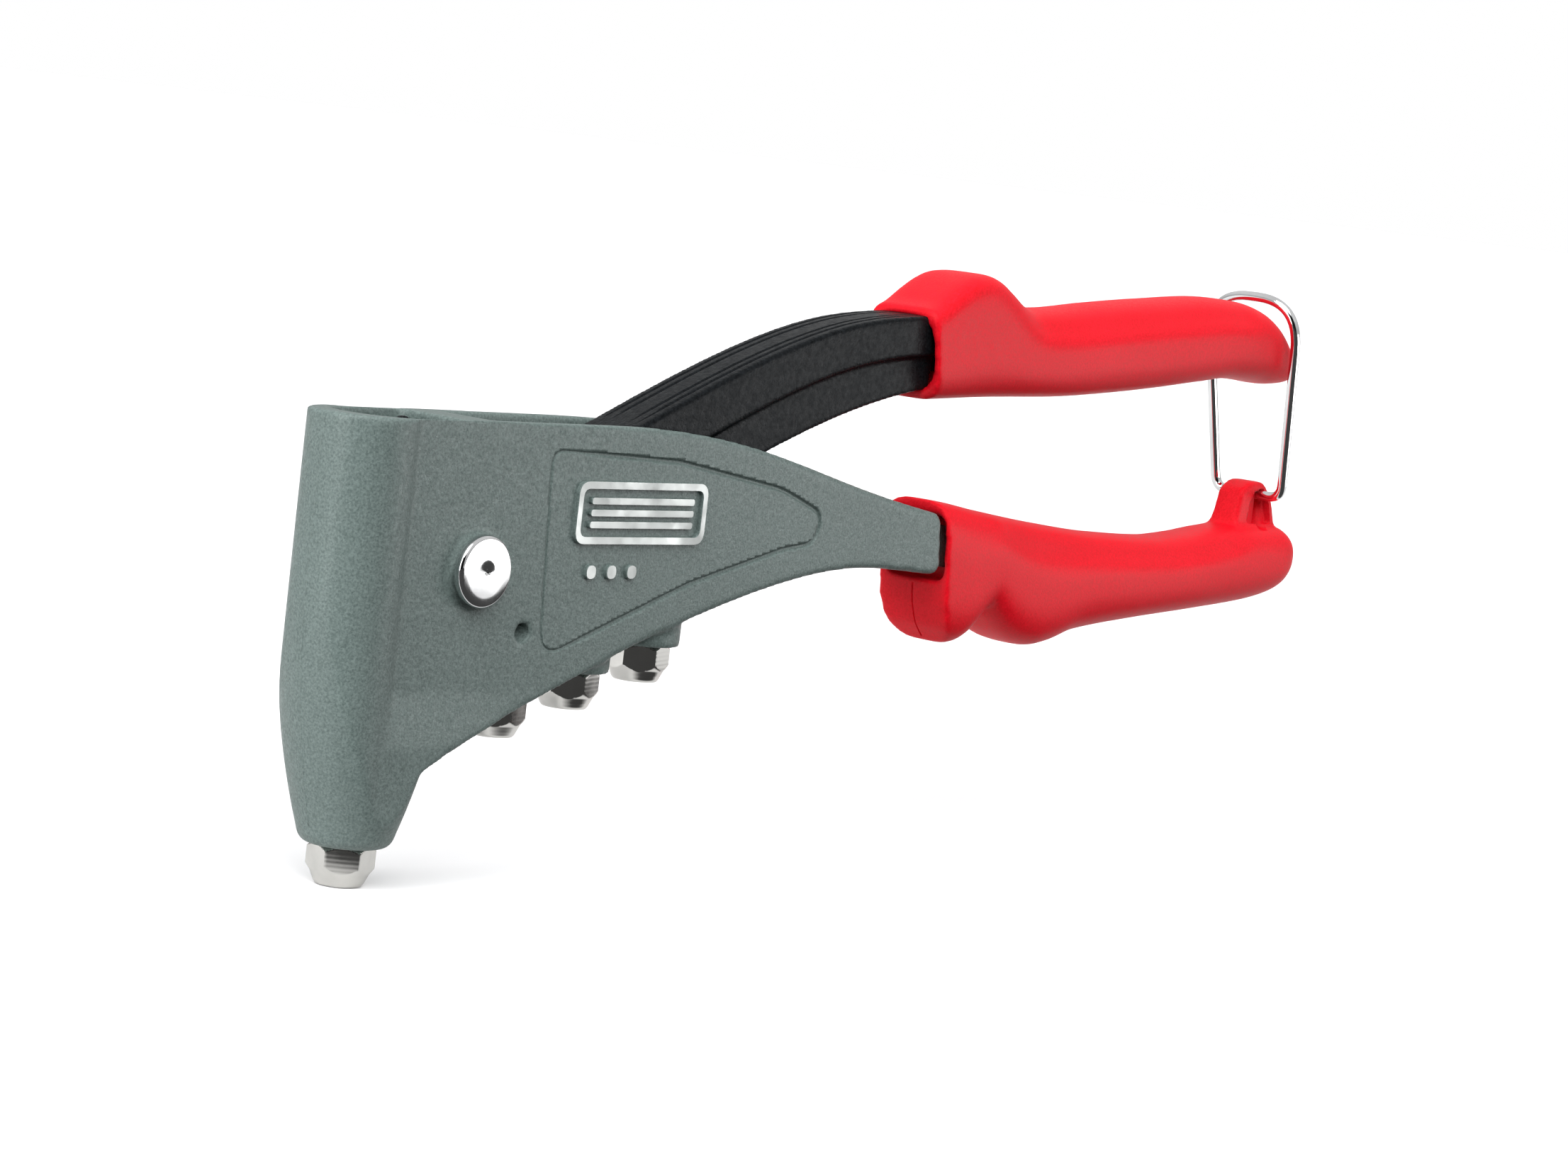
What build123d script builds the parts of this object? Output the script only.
"""Hand riveter: casting, pulling lever, jaw unit, four nosepieces, moulded grips and wire bail."""
import os
from math import cos, radians, sin, sqrt

from build123d import *

os.makedirs("parts", exist_ok=True)

# Frame: origin at the mouth of the working nosepiece, +Z up its axis, +X towards the handles.
# The lever is shown squeezed and locked by the bail.

# ---------------------------------------------------------------- driving dimensions, mm
hex_across_flats = 10.0        # spanner size of every nosepiece
nose_seat = 6.6                # mouth to the hexagon's seat
nose_length = 16.6             # mouth to the threaded end
nose_thread_r = 3.95
mouth_r = 3.9
working_bore_r = 1.35          # nosepiece for 4 mm rivets
spare_bore_rs = (1.0, 1.2, 1.6)
spare_pitch_x = 17.7           # stored nosepieces step back and up along the underside
spare_pitch_z = 4.4
first_spare_x = 32.3
first_spare_z = 24.0

column_top = 78.3
barrel_r = 9.4                 # front of the column
barrel_x = -5.3                # the barrel's centre lies ahead of the nose axis
barrel_foot_r = 7.9
foot_x = 0.45                  # axis of the turned foot
turned_r = 14.8                # radius of the turned foot where it leaves the barrel
guide_bore_r = 5.66            # the jaw case slides in this one
upper_bore_r = 7.8
upper_bore_x = -1.7
bridge_x = 10.4                # front face of the bridge behind the column's opening
plate_half = 9.0               # half width of the casting at the barrel
arm_half = 8.0                 # half width of its arm
channel_half = 6.1             # lever channel

pivot_x = 15.9
pivot_z = 53.5
pin_r = 3.0
pin_head_r = 6.15
fork_reach = 16.4              # pivot to fork tip
fork_rest = 19.0               # fork angle above level, at rest
fork_tip_r = 2.6
fork_in = 3.3
fork_out = 5.0
cheek_half = 5.8               # lever half width
tang_half = 4.0                # both tangs inside the grips

jaw_case_r = 5.6
spool_neck_r = 3.0
spool_flange_r = 5.4
spool_play = 0.25              # axial play of the fork tip between the flanges
fit_gap = 0.05

bail_x = 254.3
bail_z = 68.6
bail_length = 41.6
bail_lean = 10.0               # leans forward from the vertical, degrees
bail_wire_r = 1.0
bail_foot_half = 8.15
bail_top_half = 11.3

# ---------------------------------------------------------------- worked-out places
tip_x = pivot_x - fork_reach * cos(radians(fork_rest))
tip_z = pivot_z + fork_reach * sin(radians(fork_rest))
side = Plane.XZ                # a side view: its normal points to -Y
spares = [
    (first_spare_x + spare_pitch_x * i, first_spare_z + spare_pitch_z * i, bore)
    for i, bore in enumerate(spare_bore_rs)
]


def save(piece, name):
    piece.part.label = name
    export_step(piece.part, f"parts/{name}.step")


# ---------------------------------------------------------------- casting
with BuildPart() as body_casting:
    # column: a turned barrel with a domed foot, trimmed flat at both sides
    with BuildSketch(Plane((foot_x, 0, 0), x_dir=(1, 0, 0), z_dir=(0, -1, 0))):
        with BuildLine():
            Line((0, nose_seat), (barrel_foot_r - 1.4, nose_seat))
            ThreePointArc(
                (barrel_foot_r - 1.4, nose_seat),
                (barrel_foot_r - 0.2, nose_seat + 0.9),
                (barrel_foot_r + 0.3, nose_seat + 2.2),
            )
            ThreePointArc((barrel_foot_r + 0.3, nose_seat + 2.2), (12.4, 25.0), (turned_r, 48.0))
            Line((turned_r, 48.0), (turned_r, column_top))
            Line((turned_r, column_top), (0, column_top))
            Line((0, column_top), (0, nose_seat))
        make_face()
    revolve(axis=Axis((foot_x, 0, 0), (0, 0, 1)))
    with BuildSketch(Plane.XY):
        with Locations((barrel_x, 0)):
            Circle(barrel_r)
        with Locations((4.0, 0)):
            Rectangle(18.0, 2 * plate_half)
    extrude(amount=column_top, mode=Mode.INTERSECT)

    # flank plates and arm: the side outline, narrowed in plan
    with BuildPart(mode=Mode.PRIVATE) as flanks:
        with BuildSketch(side):
            with BuildLine():
                Line((0, 20.0), (0, column_top))
                Line((0, column_top), (46.0, column_top))
                Spline(
                    (46.0, column_top), (85.0, 75.2), (111.0, 69.6), (138.4, 64.3),
                    tangents=[(1, 0), (1, -0.16)],
                )
                ThreePointArc((138.4, 64.3), (140.0, 63.5), (140.6, 61.8))
                Line((140.6, 61.8), (141.6, 54.9))
                ThreePointArc((141.6, 54.9), (141.1, 53.3), (139.4, 52.6))
                Spline(
                    (139.4, 52.6), (117.0, 53.7), (98.0, 51.3), (67.0, 43.0), (34.0, 31.2),
                    tangents=[(-1, 0.07), (-1, -0.38)],
                )
                ThreePointArc((34.0, 31.2), (22.0, 26.3), (8.0, 20.0))
                Line((8.0, 20.0), (0, 20.0))
            make_face()
        extrude(amount=12, both=True)
        with BuildSketch(Plane.XY):
            with BuildLine():
                Spline(
                    (12.0, -plate_half), (27.0, -8.45), (44.0, -arm_half - 0.05), (144.0, -arm_half),
                    tangents=[(1, 0), (1, 0)],
                )
                Line((-1, -plate_half), (12.0, -plate_half))
                mirror(about=Plane.XZ)
                Line((-1, -plate_half), (-1, plate_half))
                Line((144.0, -arm_half), (144.0, arm_half))
            make_face()
        extrude(amount=100, mode=Mode.INTERSECT)
    add(flanks.part)

    # tang that the lower grip is moulded on
    with BuildSketch(side):
        with BuildLine():
            Polyline((137, 62.5), (200, 55.8), (256, 58.0), (256, 51.5), (200, 48.0), (137, 54.5), close=True)
        make_face()
    extrude(amount=tang_half, both=True)

    # bosses under the arm for the stored nosepieces
    for x, z, bore in spares:
        with BuildSketch(Plane.XY.offset(z + nose_seat)):
            with Locations((x, 0)):
                Circle(7.2)
        extrude(amount=8.0)

    # spot faces let each stored nosepiece seat on its boss
    for x, z, bore in spares:
        with BuildSketch(Plane.XY.offset(z + nose_seat)):
            with Locations((x, 0)):
                Circle(6.6)
        extrude(amount=-10, mode=Mode.SUBTRACT)

    # round pads that the pin head and the retaining ring seat on
    with BuildSketch(side):
        with Locations((pivot_x, pivot_z)):
            Circle(7.0)
    extrude(amount=plate_half + 0.1, both=True)

    # bores up the column
    with BuildSketch(Plane.XY):
        Circle(nose_thread_r + fit_gap)
    extrude(amount=column_top, mode=Mode.SUBTRACT)
    with BuildSketch(Plane.XY.offset(17.6)):
        Circle(guide_bore_r)
    extrude(amount=column_top, mode=Mode.SUBTRACT)
    with BuildSketch(Plane.XY.offset(40.0)):
        with Locations((upper_bore_x, 0)):
            Circle(upper_bore_r)
        with Locations(((upper_bore_x + bridge_x) / 2, 0)):
            Rectangle(bridge_x - upper_bore_x, 2 * upper_bore_r)
    extrude(amount=column_top, mode=Mode.SUBTRACT)

    # lever channel behind the column, open at the top
    with BuildSketch(side):
        with BuildLine():
            Polyline(
                (2, 90), (2, 42), (20, 40), (34, 45.5), (72, 57.0), (88, 63.0), (98, 70), (101, 90), close=True
            )
        make_face()
    extrude(amount=channel_half, both=True, mode=Mode.SUBTRACT)

    # bridge across the walls between the column's opening and the channel
    with BuildSketch(side):
        with BuildLine():
            Polyline(
                (bridge_x, column_top), (18.3, column_top), (15.2, 71.0), (bridge_x + 0.6, 71.0), close=True
            )
        make_face()
    extrude(amount=channel_half + 0.5, both=True)

    # pin hole, spring hole and threaded holes
    with BuildSketch(side):
        with Locations((pivot_x, pivot_z)):
            Circle(pin_r + fit_gap)
        with Locations((29.0, 42.8)):
            Circle(1.65)
    extrude(amount=15, both=True, mode=Mode.SUBTRACT)
    for x, z, bore in spares:
        with BuildSketch(Plane.XY.offset(z + nose_seat - 0.5)):
            with Locations((x, 0)):
                Circle(nose_thread_r + fit_gap)
        extrude(amount=nose_length - nose_seat + 1.0, mode=Mode.SUBTRACT)
save(body_casting, "body_casting")


# ---------------------------------------------------------------- nosepieces
def nosepiece(name, x, z, bore_r):
    """Turned cone, spanner hexagon and threaded shank on one axis, with the rivet's bore."""
    with BuildPart() as piece:
        with BuildSketch(Plane.XY.offset(z)):
            with Locations((x, 0)):
                RegularPolygon(hex_across_flats / 2, 6, major_radius=False, rotation=18)
        extrude(amount=nose_seat)
        corner_r = hex_across_flats / sqrt(3)
        with BuildPart(mode=Mode.PRIVATE) as turning:
            with BuildSketch(Plane(origin=(x, 0, z), x_dir=(1, 0, 0), z_dir=(0, -1, 0))):
                with BuildLine():
                    Polyline(
                        (0, 0), (mouth_r, 0), (5.3, 2.4), (corner_r + 0.1, 3.4), (corner_r + 0.1, 5.8),
                        (5.1, nose_seat), (nose_thread_r, nose_seat), (nose_thread_r, nose_length - 0.8),
                        (nose_thread_r - 0.8, nose_length), (0, nose_length), close=True,
                    )
                make_face()
            revolve(axis=Axis((x, 0, z), (0, 0, 1)))
        with BuildSketch(Plane.XY.offset(z + nose_seat)):
            with Locations((x, 0)):
                Circle(nose_thread_r)
        extrude(amount=nose_length - nose_seat)
        add(turning.part, mode=Mode.INTERSECT)
        with BuildSketch(Plane.XY.offset(z)):
            with Locations((x, 0)):
                Circle(bore_r)
        extrude(amount=nose_length, mode=Mode.SUBTRACT)
    save(piece, name)


nosepiece("nosepiece_working", 0, 0, working_bore_r)
for number, (x, z, bore_r) in enumerate(spares, start=1):
    nosepiece(f"nosepiece_spare_{number}", x, z, bore_r)

# ---------------------------------------------------------------- lever
with BuildPart() as lever_arm:
    with BuildSketch(side):
        with BuildLine():
            Line((pivot_x - 3, pivot_z + 7.2), (52.0, 76.6))
            Spline((52.0, 76.6), (85.0, 90.4), (114.0, 98.8), (136.0, 101.0), tangents=[(1, 0.44), (1, 0.06)])
            Line((136.0, 101.0), (136.0, 87.2))
            Spline((136.0, 87.2), (113.0, 81.9), (92.0, 74.5), (62.0, 61.8), tangents=[(-1, -0.16), (-1, -0.44)])
            Line((62.0, 61.8), (pivot_x + 4, pivot_z - 8.0))
            ThreePointArc(
                (pivot_x + 4, pivot_z - 8.0), (pivot_x - 7.6, pivot_z - 2.0), (pivot_x - 3, pivot_z + 7.2)
            )
        make_face()
    extrude(amount=cheek_half, both=True)
    # both flanks are relieved below a ledge that follows the top
    for flank in (-1, 1):
        with BuildSketch(side.offset(flank * (cheek_half + 1))):
            with BuildLine():
                Spline((34.0, 58.6), (76.0, 77.3), (108.0, 89.2), (138.0, 93.6), tangents=[(1, 0.46), (1, 0.05)])
                Polyline((138.0, 93.6), (138.0, 80.0), (60.0, 50.0), (34.0, 52.0), (34.0, 58.6))
            make_face()
        extrude(amount=-flank * 2.2, mode=Mode.SUBTRACT)
    # slot between the cheeks for the spring, open to the front
    with BuildSketch(side):
        with BuildLine():
            Polyline((-10, 30), (24.0, 30), (27.0, 58), (20.0, 70), (-10, 70), close=True)
        make_face()
    extrude(amount=fork_in, both=True, mode=Mode.SUBTRACT)
    # fork arms, each with a round tip between the spool's flanges and an upright horn behind it
    with BuildPart(mode=Mode.PRIVATE) as fork:
        with BuildSketch(side):
            with Locations((tip_x, tip_z)):
                Circle(fork_tip_r)
            with BuildLine():
                Polyline(
                    (tip_x + 0.1, tip_z + 2.0), (tip_x + 3.6, tip_z + 0.9), (9.0, 60.6), (13.2, 60.8),
                    (pivot_x, pivot_z), (10.0, 50.4), (tip_x + 1.0, tip_z - 2.2), close=True,
                )
            make_face()
            with BuildLine():
                Polyline(
                    (6.4, 62.0), (5.9, 67.0), (5.9, 75.9), (9.1, 75.9), (9.3, 70.0), (13.6, 60.0), (8.5, 56.0),
                    close=True,
                )
            make_face()
            with Locations((7.5, 75.9)):
                Circle(1.6)
            with Locations((tip_x, tip_z)):
                Circle(fork_tip_r)
        extrude(amount=fork_out, both=True)
        with BuildSketch(side):
            with Locations((10, 60)):
                Rectangle(60, 60)
        extrude(amount=fork_in, both=True, mode=Mode.SUBTRACT)
        with BuildSketch(side):
            with Locations((pivot_x, pivot_z)):
                Circle(5.0)
        extrude(amount=fork_out, both=True, mode=Mode.SUBTRACT)
    add(fork.part)
    # tang inside the upper grip
    with BuildSketch(side):
        with BuildLine():
            Polyline((134, 98.2), (190, 101.0), (246, 104.0), (246, 97.5), (190, 94.0), (134, 90.2), close=True)
        make_face()
    extrude(amount=tang_half, both=True)
    with BuildSketch(side):
        with Locations((pivot_x, pivot_z)):
            Circle(4.2)
    extrude(amount=15, both=True, mode=Mode.SUBTRACT)
save(lever_arm, "lever_arm")

with BuildPart() as lever_bushes:
    for flank in (-1, 1):
        with BuildSketch(side.offset(flank * fork_in)):
            with Locations((pivot_x, pivot_z)):
                Circle(4.2)
                Circle(pin_r + fit_gap, mode=Mode.SUBTRACT)
        extrude(amount=flank * (cheek_half - fork_in))
save(lever_bushes, "lever_bushes")

# ---------------------------------------------------------------- pivot pin, ring and opening spring
pin_end = plate_half + 1.9
with BuildPart() as pivot_pin:
    with BuildSketch(side.offset(plate_half + 0.1)):
        with Locations((pivot_x, pivot_z)):
            Circle(pin_head_r)
    extrude(amount=1.7)
    fillet(pivot_pin.faces().sort_by(Axis.Y)[0].edges(), 0.75)
    with BuildSketch(side.offset(plate_half + 0.2)):
        with Locations((pivot_x, pivot_z)):
            Circle(pin_r)
    extrude(amount=-(plate_half + 0.2 + pin_end))
    # groove for the retaining ring
    with BuildSketch(side.offset(-plate_half - 0.15)):
        with Locations((pivot_x, pivot_z)):
            Circle(pin_r)
            Circle(pin_r - 0.6, mode=Mode.SUBTRACT)
    extrude(amount=-0.9, mode=Mode.SUBTRACT)
    with BuildSketch(side.offset(plate_half + 1.8)):
        with Locations((pivot_x, pivot_z)):
            Circle(0.7)
    extrude(amount=-0.4, mode=Mode.SUBTRACT)
save(pivot_pin, "pivot_pin")

with BuildPart() as retaining_ring:
    with BuildSketch(side.offset(-plate_half - 0.15)):
        with Locations((pivot_x, pivot_z)):
            Circle(5.4)
            Circle(pin_r - 0.55, mode=Mode.SUBTRACT)
        with Locations((pivot_x, pivot_z - 4)):
            Rectangle(3.6, 8, mode=Mode.SUBTRACT)
    extrude(amount=-0.8)
save(retaining_ring, "retaining_ring")

with BuildPart() as opening_spring:
    with BuildSketch(side):
        with Locations((pivot_x, pivot_z)):
            Circle(5.6)
            Circle(3.9, mode=Mode.SUBTRACT)
    extrude(amount=2.7, both=True)
    # one leg on the floor of the channel, one in the end of the lever's slot
    with BuildSketch(Plane((pivot_x + 4.8, 2.0, pivot_z), x_dir=(0, 1, 0), z_dir=(0.05, 0, -1))):
        Circle(0.7)
    extrude(amount=12.0)
    with BuildSketch(Plane((pivot_x, -2.0, pivot_z - 4.75), x_dir=(0, 1, 0), z_dir=(1, 0, 0.1))):
        Circle(0.7)
    extrude(amount=9.6)
save(opening_spring, "opening_spring")

# ---------------------------------------------------------------- jaw unit
flange_gap = fork_tip_r + spool_play
flange_t = 2.0
spool_foot = 46.0
case_foot = 36.0
case_top = 51.0
cone_foot = 29.5
with BuildPart() as pull_spool:
    with BuildSketch(Plane.XY.offset(spool_foot)):
        Circle(spool_neck_r)
    extrude(amount=tip_z + flange_gap + flange_t - spool_foot)
    for z in (tip_z + flange_gap, tip_z - flange_gap - flange_t):
        with BuildSketch(Plane.XY.offset(z)):
            Circle(spool_flange_r)
            with Locations((1.4 + 5, 0)):
                Rectangle(10, 20, mode=Mode.SUBTRACT)
            Circle(spool_neck_r)
        extrude(amount=flange_t)
    with BuildSketch(Plane.XY.offset(spool_foot)):
        Circle(1.8)
    extrude(amount=30, mode=Mode.SUBTRACT)
save(pull_spool, "pull_spool")

with BuildPart() as lock_nut:
    with BuildSketch(Plane.XY.offset(case_top)):
        RegularPolygon(4.6, 6, major_radius=False)
        Circle(spool_neck_r + 0.02, mode=Mode.SUBTRACT)
    extrude(amount=2.2)
save(lock_nut, "lock_nut")

with BuildPart() as jaw_case:
    with BuildSketch(Plane.XY.offset(case_foot)):
        Circle(jaw_case_r)
        Circle(4.6, mode=Mode.SUBTRACT)
    extrude(amount=case_top - 4 - case_foot)
    with BuildSketch(Plane.XY.offset(case_top - 4)):
        Circle(jaw_case_r)
        Circle(spool_neck_r + 0.02, mode=Mode.SUBTRACT)
    extrude(amount=4)
save(jaw_case, "jaw_case")

cone_in_r = 2.4
cone_out_r = 3.6
cone_length = 9.5
cone_slope = (cone_out_r - cone_in_r) / cone_length
with BuildPart() as jaw_cone:
    with BuildSketch(Plane.XZ):
        with BuildLine():
            Polyline(
                (cone_in_r, cone_foot), (jaw_case_r - 0.6, cone_foot), (jaw_case_r, cone_foot + 0.6),
                (jaw_case_r, case_foot), (4.57, case_foot), (4.57, cone_foot + cone_length),
                (cone_out_r, cone_foot + cone_length), close=True,
            )
        make_face()
    revolve(axis=Axis.Z)
save(jaw_cone, "jaw_cone")

jaw_foot = cone_foot + 1.0
jaw_length = 8.0
for number in range(3):
    with BuildPart() as jaw:
        foot_r = cone_in_r + cone_slope * 1.0 - fit_gap
        head_r = foot_r + cone_slope * jaw_length
        with BuildSketch(Plane.XZ):
            with BuildLine():
                Polyline(
                    (0.9, jaw_foot), (foot_r, jaw_foot), (head_r, jaw_foot + jaw_length),
                    (1.9, jaw_foot + jaw_length), (0.9, jaw_foot + jaw_length - 1.2), close=True,
                )
            make_face()
        revolve(axis=Axis.Z, revolution_arc=112)
        jaw.part = jaw.part.rotate(Axis.Z, 120 * number)
    save(jaw, f"jaw_{number + 1}")

jaw_top = jaw_foot + jaw_length
with BuildPart() as jaw_pusher:
    with BuildSketch(Plane.XZ):
        with BuildLine():
            Polyline(
                (1.5, jaw_top - 0.4), (1.95, jaw_top + 0.05), (2.6, jaw_top + 0.05), (2.6, 40.2), (4.3, 40.2),
                (4.3, 41.6), (2.5, 41.6), (2.5, 45.4), (1.5, 45.4), close=True,
            )
        make_face()
    revolve(axis=Axis.Z)
save(jaw_pusher, "jaw_pusher")

with BuildPart() as jaw_spring:
    with BuildSketch(Plane.XY.offset(41.6)):
        Circle(4.1)
        Circle(3.1, mode=Mode.SUBTRACT)
    extrude(amount=case_top - 4 - 41.6)
save(jaw_spring, "jaw_spring")


# ---------------------------------------------------------------- grips
# Sections of each moulded grip: distance along, underside, top, half width, corner radius.
upper_sections = [
    (131.4, 85.2, 102.2, 8.1, 3.6), (134.0, 85.4, 103.2, 8.2, 3.6), (138.5, 85.5, 105.8, 8.4, 4.0),
    (144.0, 85.5, 108.9, 8.5, 4.2),
    (150.0, 85.7, 109.3, 8.6, 4.6), (156.0, 86.0, 107.6, 8.6, 5.2), (163.0, 86.3, 104.6, 8.6, 6.0),
    (170.0, 86.5, 103.7, 8.8, 6.8), (178.0, 87.0, 104.4, 8.9, 7.0),
    (190.0, 87.8, 105.7, 9.0, 7.0), (208.0, 89.5, 107.2, 9.0, 7.0), (226.0, 91.4, 108.5, 8.9, 7.0),
    (240.0, 92.3, 108.2, 8.6, 6.6), (246.0, 92.2, 106.7, 8.4, 6.2), (254.0, 91.9, 99.9, 8.0, 3.8),
    (259.0, 92.6, 96.2, 7.2, 1.7),
]
lower_sections = [
    (142.0, 51.0, 66.0, 8.0, 3.2), (144.0, 46.2, 65.8, 8.1, 3.4), (146.5, 42.0, 65.4, 8.3, 3.8), (150.5, 39.0, 64.8, 8.5, 4.2),
    (155.0, 40.6, 64.4, 8.6, 4.6), (160.5, 43.6, 63.8, 8.7, 5.0), (166.0, 41.4, 63.3, 8.8, 5.4),
    (172.0, 38.9, 62.6, 8.8, 5.8), (178.0, 38.0, 62.1, 8.9, 6.0), (190.0, 40.4, 61.0, 9.0, 6.4),
    (204.0, 42.2, 60.2, 8.8, 6.4), (219.0, 43.4, 59.9, 8.5, 6.4), (234.0, 44.8, 60.9, 8.1, 6.2),
    (250.0, 46.5, 62.6, 7.6, 5.6), (260.0, 49.0, 61.8, 7.3, 5.0), (266.0, 53.0, 59.0, 6.0, 2.7),
]

with BuildPart() as upper_grip:
    for x, low, high, half, corner in upper_sections:
        with BuildSketch(Plane((x, 0, (low + high) / 2), x_dir=(0, 1, 0), z_dir=(1, 0, 0))):
            RectangleRounded(2 * half, high - low, corner)
    loft()
    with BuildSketch(side):
        with BuildLine():
            Polyline((134, 98.2), (190, 101.0), (246, 104.0), (246, 97.5), (190, 94.0), (134, 90.2), close=True)
        make_face()
    extrude(amount=tang_half, both=True, mode=Mode.SUBTRACT)
    with BuildSketch(side):
        with BuildLine():
            Polyline((130, 85.9), (138, 86.9), (138, 101.4), (130, 101.2), close=True)
        make_face()
    extrude(amount=cheek_half + 0.5, both=True, mode=Mode.SUBTRACT)
save(upper_grip, "upper_grip")

with BuildPart() as lower_grip:
    for x, low, high, half, corner in lower_sections:
        with BuildSketch(Plane((x, 0, (low + high) / 2), x_dir=(0, 1, 0), z_dir=(1, 0, 0))):
            RectangleRounded(2 * half, high - low, corner)
    loft()
    # lug for the bail
    with BuildSketch(side):
        with BuildLine():
            Line((245.5, 56.0), (246.4, 63.6))
            ThreePointArc((246.4, 63.6), (247.8, 68.8), (252.0, 71.3))
            ThreePointArc((252.0, 71.3), (257.6, 69.2), (260.6, 62.0))
            Polyline((260.6, 62.0), (260.6, 56.0), (245.5, 56.0))
        make_face()
    extrude(amount=3.2, both=True)
    with BuildSketch(side):
        with Locations((bail_x, bail_z - 2.4)):
            SlotCenterToCenter(4.8, 2 * (bail_wire_r + 0.2), rotation=90)
    extrude(amount=12, both=True, mode=Mode.SUBTRACT)
    with BuildSketch(side):
        with BuildLine():
            Polyline((137, 62.5), (200, 55.8), (256, 58.0), (256, 51.5), (200, 48.0), (137, 54.5), close=True)
        make_face()
    extrude(amount=tang_half, both=True, mode=Mode.SUBTRACT)
    # the arm's end sits in an open mouth
    with BuildSketch(side):
        with BuildLine():
            Polyline((141, 50.9), (145.5, 50.9), (145.5, 63.5), (141, 63.5), close=True)
        make_face()
    extrude(amount=7.0, both=True, mode=Mode.SUBTRACT)
save(lower_grip, "lower_grip")

# ---------------------------------------------------------------- bail
lean = radians(bail_lean)
bail_plane = Plane(
    origin=(bail_x, 0, bail_z), x_dir=(0, 1, 0), z_dir=(cos(lean), 0, sin(lean))
)
with BuildPart() as bail_wire:
    with BuildLine(bail_plane):
        loop = FilletPolyline(
            (bail_foot_half, 0), (bail_top_half, bail_length), (-bail_top_half, bail_length),
            (-bail_foot_half, 0),
            close=True, radius=[3.2, 9.5, 9.5, 3.2],
        )
    with BuildSketch(Plane(origin=loop @ 0, z_dir=loop % 0)):
        Circle(bail_wire_r)
    sweep(path=loop)
save(bail_wire, "bail_wire")
